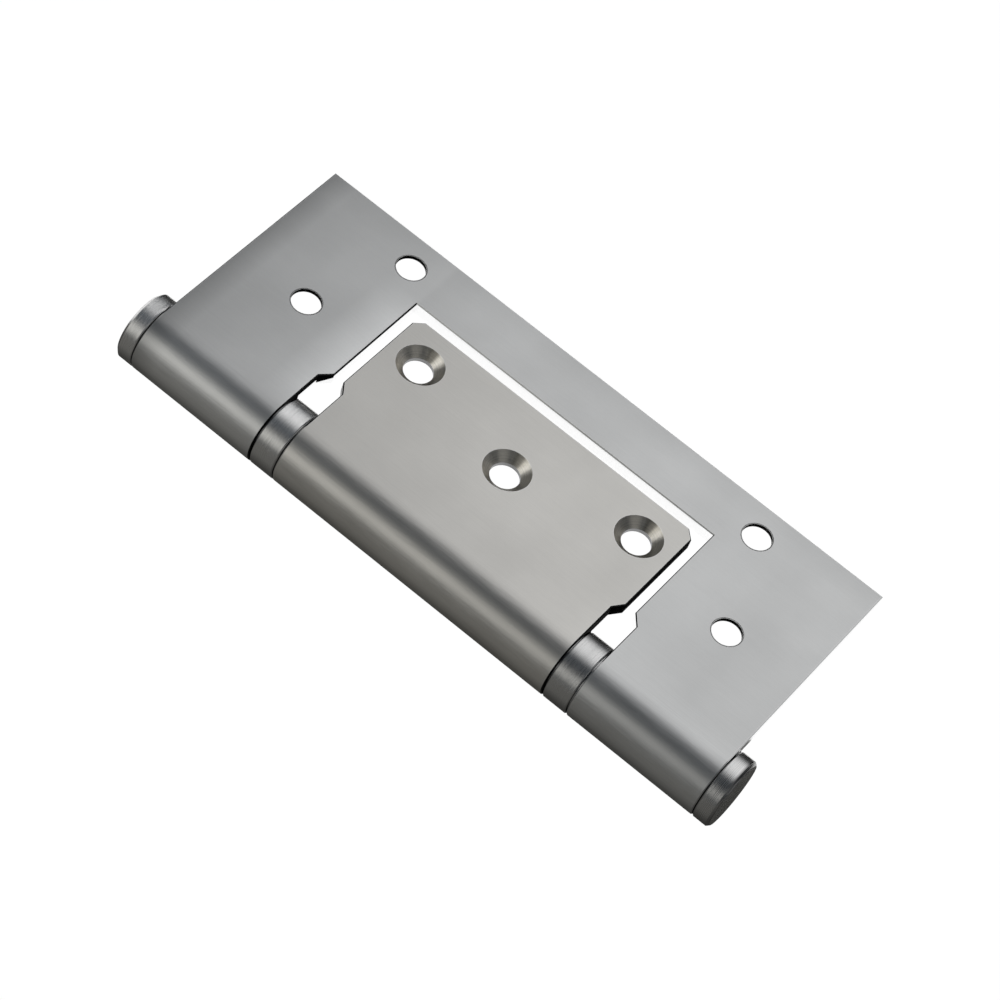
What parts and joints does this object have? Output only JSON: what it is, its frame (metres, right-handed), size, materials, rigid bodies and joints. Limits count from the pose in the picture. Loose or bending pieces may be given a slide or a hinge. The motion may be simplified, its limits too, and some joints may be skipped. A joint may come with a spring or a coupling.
{
  "type": "flush hinge",
  "caption": "Non-mortice stainless door hinge: the small leaf nests in the large leaf's window and turns on a headed pin with caged ball thrust bearings.",
  "frame": {"origin": "on the pin's axis, half way along the hinge", "axes": "+X along the pin towards the end plug, +Y across the closed leaves to their free edges, +Z out of the face that the outer leaf puts against the door frame"},
  "size_m": [0.132, 0.0548, 0.0136],
  "materials": {
    "leaf_steel": "satin, finely brushed across the leaves",
    "turned_steel": "turned, brighter than the leaves",
    "race_steel": "hardened and ground",
    "ball_steel": "polished",
    "cage_nylon": "moulded"
  },
  "bodies": {
    "outer": {"outer_leaf": "leaf_steel", "hinge_pin": "turned_steel", "end_plug": "turned_steel", "left_bearing_shell": "turned_steel", "left_fixed_race": "race_steel", "right_bearing_shell": "turned_steel", "right_fixed_race": "race_steel"},
    "inner": {"inner_leaf": "leaf_steel", "left_moving_race": "race_steel", "right_moving_race": "race_steel"},
    "left_balls": {"left_ball_cage": "cage_nylon", "left_ball_01": "ball_steel", "left_ball_02": "ball_steel", "left_ball_03": "ball_steel", "left_ball_04": "ball_steel", "left_ball_05": "ball_steel", "left_ball_06": "ball_steel", "left_ball_07": "ball_steel", "left_ball_08": "ball_steel", "left_ball_09": "ball_steel", "left_ball_10": "ball_steel"},
    "right_balls": {"right_ball_cage": "cage_nylon", "right_ball_01": "ball_steel", "right_ball_02": "ball_steel", "right_ball_03": "ball_steel", "right_ball_04": "ball_steel", "right_ball_05": "ball_steel", "right_ball_06": "ball_steel", "right_ball_07": "ball_steel", "right_ball_08": "ball_steel", "right_ball_09": "ball_steel", "right_ball_10": "ball_steel"}
  },
  "joints": [
    {"name": "leaf_swing", "type": "hinge", "parent": "outer", "child": "inner", "pos_m": [0, 0, 0], "axis": [-1, 0, 0], "continuous": true},
    {"name": "left_balls_roll", "type": "hinge", "parent": "outer", "child": "left_balls", "pos_m": [-0.03273, 0, 0], "axis": [-1, 0, 0], "continuous": true},
    {"name": "right_balls_roll", "type": "hinge", "parent": "outer", "child": "right_balls", "pos_m": [0.03273, 0, 0], "axis": [-1, 0, 0], "continuous": true}
  ],
  "couplings": [
    {"joint": "left_balls_roll", "follows": "leaf_swing", "ratio": 0.5},
    {"joint": "right_balls_roll", "follows": "leaf_swing", "ratio": 0.5}
  ]
}
